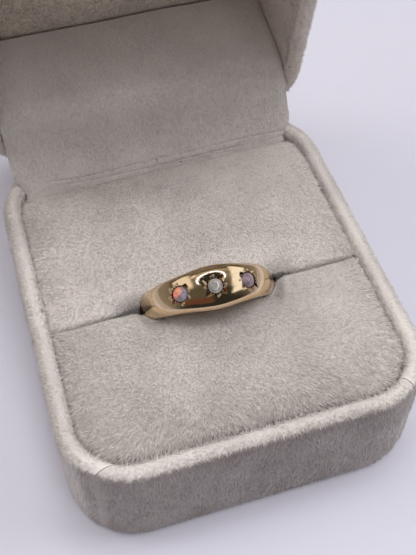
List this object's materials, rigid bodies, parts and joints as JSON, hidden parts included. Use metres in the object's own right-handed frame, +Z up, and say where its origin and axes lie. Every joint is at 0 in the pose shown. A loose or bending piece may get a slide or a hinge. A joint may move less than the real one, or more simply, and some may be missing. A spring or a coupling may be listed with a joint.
{
  "type": "gypsy ring in a hinged ring box",
  "caption": "Flush set gypsy ring with round cabochons in star cut settings, standing in the slotted pad of an open plush ring box with a hinged lid.",
  "frame": {"origin": "centre of the underside of the box's base", "axes": "+Z up, +X to the box's right as seen from the front, -Y towards the front of the open box"},
  "size_m": [0.05, 0.0777, 0.0756],
  "materials": {
    "plush": "warm grey velvet plush",
    "pad_plush": "warm grey velvet plush over foam",
    "gold": "polished yellow gold, lightly worn",
    "steel": "plain steel",
    "opal_flash": "polished opal with an orange flash",
    "opal_milk": "polished milky grey opal",
    "opal_mauve": "polished mauve opal"
  },
  "bodies": {
    "base": {"base_shell": "plush", "pad_front": "pad_plush", "pad_back": "pad_plush", "hinge_pin": "steel", "ring": "gold", "opal_left": "opal_flash", "opal_centre": "opal_milk", "opal_right": "opal_mauve"},
    "lid": {"lid_shell": "plush", "lid_pad": "plush", "hinge_cover": "plush"}
  },
  "joints": [
    {"name": "lid_hinge", "type": "hinge", "parent": "base", "child": "lid", "pos_m": [0, 0.0275, 0.0164], "axis": [1, 0, 0], "range_deg": [0, 77], "deforming": ["hinge_cover"]}
  ]
}
